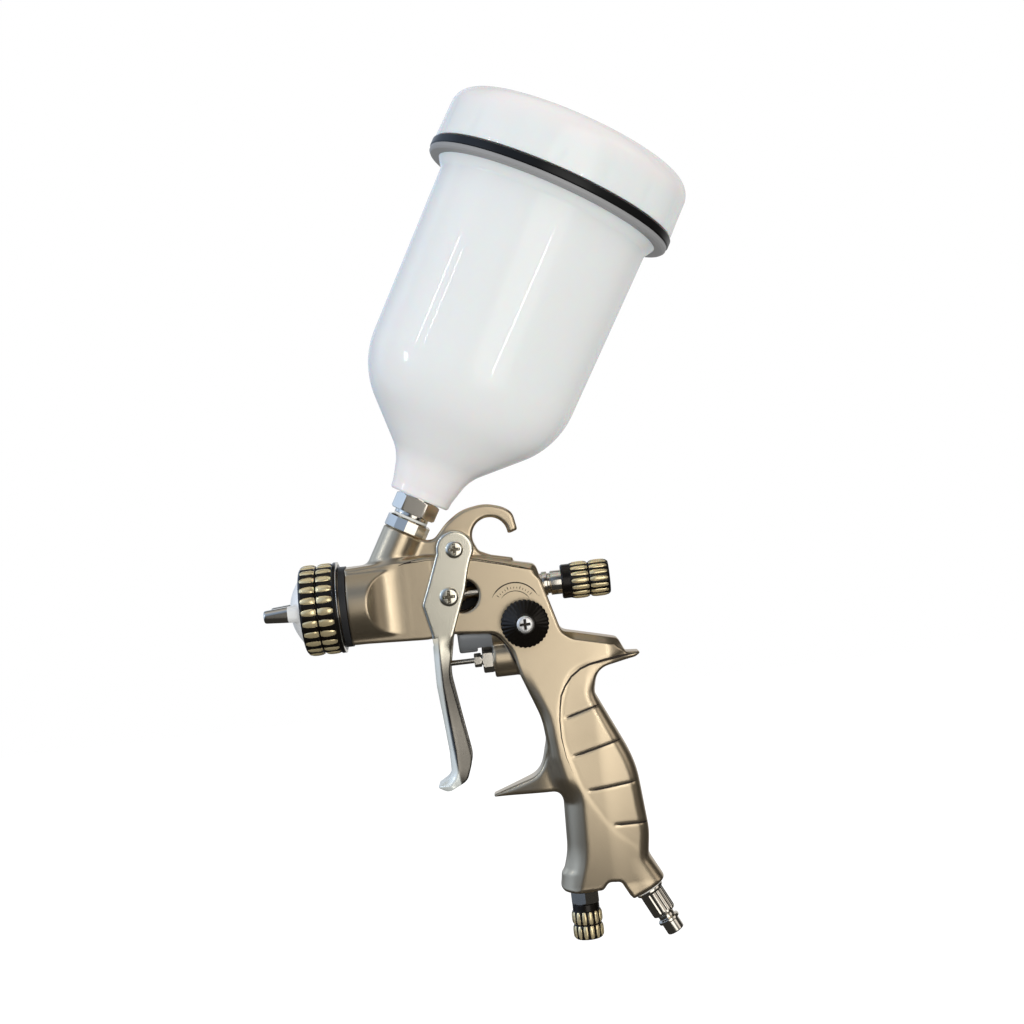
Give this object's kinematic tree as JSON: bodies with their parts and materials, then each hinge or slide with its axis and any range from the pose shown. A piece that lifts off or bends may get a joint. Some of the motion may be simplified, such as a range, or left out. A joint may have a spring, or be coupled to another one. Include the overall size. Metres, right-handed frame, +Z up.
{
  "type": "hvlp spray gun",
  "caption": "gravity-feed spray gun with a leaning cup above the body, a hinged trigger, an air cap with two horns and screw controls for fluid, fan and air",
  "frame": {"origin": "centre of the spray outlet, on the needle axis at the front face of the air cap", "axes": "-X is the way the paint leaves, +Z is up along the cup side, +Y is the side away from the fan knob"},
  "size_m": [0.1897, 0.106, 0.352],
  "materials": {
    "body_metal": "satin champagne coat on cast aluminium",
    "trigger_metal": "satin nickel plated sheet",
    "bright_metal": "bright nickel plate",
    "cap_metal": "fine turned, clear anodised",
    "black_metal": "black anodised, turned grips cut through to brass",
    "black_plastic": "moulded black plastic",
    "brass": "machined brass",
    "spring_steel": "bright spring wire",
    "seal": "white sealing plastic",
    "rubber": "black rubber",
    "cup_plastic": "translucent white nylon, gloss"
  },
  "bodies": {
    "gun": {"gun_body": "body_metal", "fluid_nozzle": "bright_metal", "air_baffle": "bright_metal", "cap_seal_ring": "black_plastic", "needle_packing": "seal", "needle_packing_nut": "brass", "fluid_knob_bushing": "bright_metal", "trigger_pin": "bright_metal", "trigger_pin_clip": "bright_metal", "valve_gland_nut": "brass", "stem_packing": "seal", "air_valve_nut": "bright_metal", "valve_seat": "seal", "fan_gland": "bright_metal", "fan_spindle_seal": "rubber", "air_flow_bushing": "bright_metal", "air_flow_seal": "rubber", "air_inlet_washer": "seal", "air_inlet_plug": "bright_metal", "inlet_collar": "bright_metal"},
    "cap_ring": {"air_cap_ring": "black_metal"},
    "cap": {"air_cap": "cap_metal"},
    "needle": {"fluid_needle": "bright_metal", "needle_collar": "bright_metal", "needle_guide": "bright_metal", "needle_spring": "spring_steel"},
    "fluid_feed": {"spring_pad": "brass"},
    "fluid_knob": {"fluid_knob": "black_metal"},
    "trigger": {"trigger": "trigger_metal", "needle_pusher_screws": "bright_metal"},
    "valve": {"air_valve_stem": "bright_metal", "valve_poppet": "brass", "valve_spring": "spring_steel"},
    "fan_control": {"fan_spindle": "brass", "fan_knob": "black_metal", "fan_knob_screw": "bright_metal"},
    "air_feed": {"air_flow_plunger": "brass"},
    "air_knob": {"air_flow_knob": "black_metal"},
    "cup_washer": {"cup_seal_washer": "seal"},
    "cup": {"cup_connector": "bright_metal", "paint_filter": "seal", "cup": "cup_plastic", "cup_ring": "black_plastic"},
    "lid_seal": {"lid_gasket": "seal"},
    "lid": {"cup_lid": "cup_plastic", "lid_vent_plug": "cup_plastic"}
  },
  "joints": [
    {"name": "ring_turn", "type": "hinge", "parent": "gun", "child": "cap_ring", "pos_m": [0.0135, 0, 0], "axis": [-1, 0, 0], "range_deg": [0, 90]},
    {"name": "cap_turn", "type": "hinge", "parent": "gun", "child": "cap", "pos_m": [0.006, 0, 0], "axis": [-1, 0, 0], "range_deg": [-90, 90]},
    {"name": "trigger_pull", "type": "hinge", "parent": "gun", "child": "trigger", "pos_m": [0.07, 0, 0.0184], "axis": [0, -1, 0], "range_deg": [0, 11], "stiffness_Nm_per_rad": 6, "springref_deg": -14.32},
    {"name": "needle_draw", "type": "slide", "parent": "gun", "child": "needle", "axis": [1, 0, 0], "range_m": [0, 0.0037], "deforming": ["needle_spring"]},
    {"name": "valve_push", "type": "slide", "parent": "gun", "child": "valve", "axis": [1, 0, 0], "range_m": [0, 0.0089], "deforming": ["valve_spring"]},
    {"name": "fluid_feed_screw", "type": "slide", "parent": "gun", "child": "fluid_feed", "axis": [1, 0, 0], "range_m": [-0.002, 0.001]},
    {"name": "fluid_knob_turn", "type": "hinge", "parent": "fluid_feed", "child": "fluid_knob", "pos_m": [0.1215, 0, 0], "axis": [1, 0, 0], "range_deg": [-721, 361]},
    {"name": "fan_turn", "type": "hinge", "parent": "gun", "child": "fan_control", "pos_m": [0.0949, -0.015, -0.0144], "axis": [0, -1, 0], "range_deg": [-45, 45]},
    {"name": "air_feed_screw", "type": "slide", "parent": "gun", "child": "air_feed", "axis": [0, 0, -1], "range_m": [0, 0.003]},
    {"name": "air_knob_turn", "type": "hinge", "parent": "air_feed", "child": "air_knob", "pos_m": [0.1063, 0, -0.139], "axis": [0, 0, -1], "range_deg": [-1, 1081]},
    {"name": "cup_rise", "type": "slide", "parent": "gun", "child": "cup_washer", "axis": [0.5, 0, 0.866], "range_m": [0, 0.00801]},
    {"name": "cup_turn", "type": "hinge", "parent": "cup_washer", "child": "cup", "pos_m": [0.0533, 0, 0.03291], "axis": [0.5, 0, 0.866], "range_deg": [0, 1920]},
    {"name": "lid_lift", "type": "slide", "parent": "cup", "child": "lid_seal", "axis": [0.5, 0, 0.866], "range_m": [0, 0.06]},
    {"name": "lid_turn", "type": "hinge", "parent": "lid_seal", "child": "lid", "pos_m": [0.1343, 0, 0.17321], "axis": [0.5, 0, 0.866], "range_deg": [0, 540]}
  ],
  "couplings": [
    {"joint": "needle_draw", "follows": "trigger_pull", "m_per_rad": 0.019},
    {"joint": "valve_push", "follows": "trigger_pull", "m_per_rad": 0.0458},
    {"joint": "fluid_knob_turn", "follows": "fluid_feed_screw", "rad_per_m": 6283.2},
    {"joint": "air_knob_turn", "follows": "air_feed_screw", "rad_per_m": 6283.2},
    {"joint": "cup_rise", "follows": "cup_turn", "m_per_rad": 0.00023873}
  ]
}
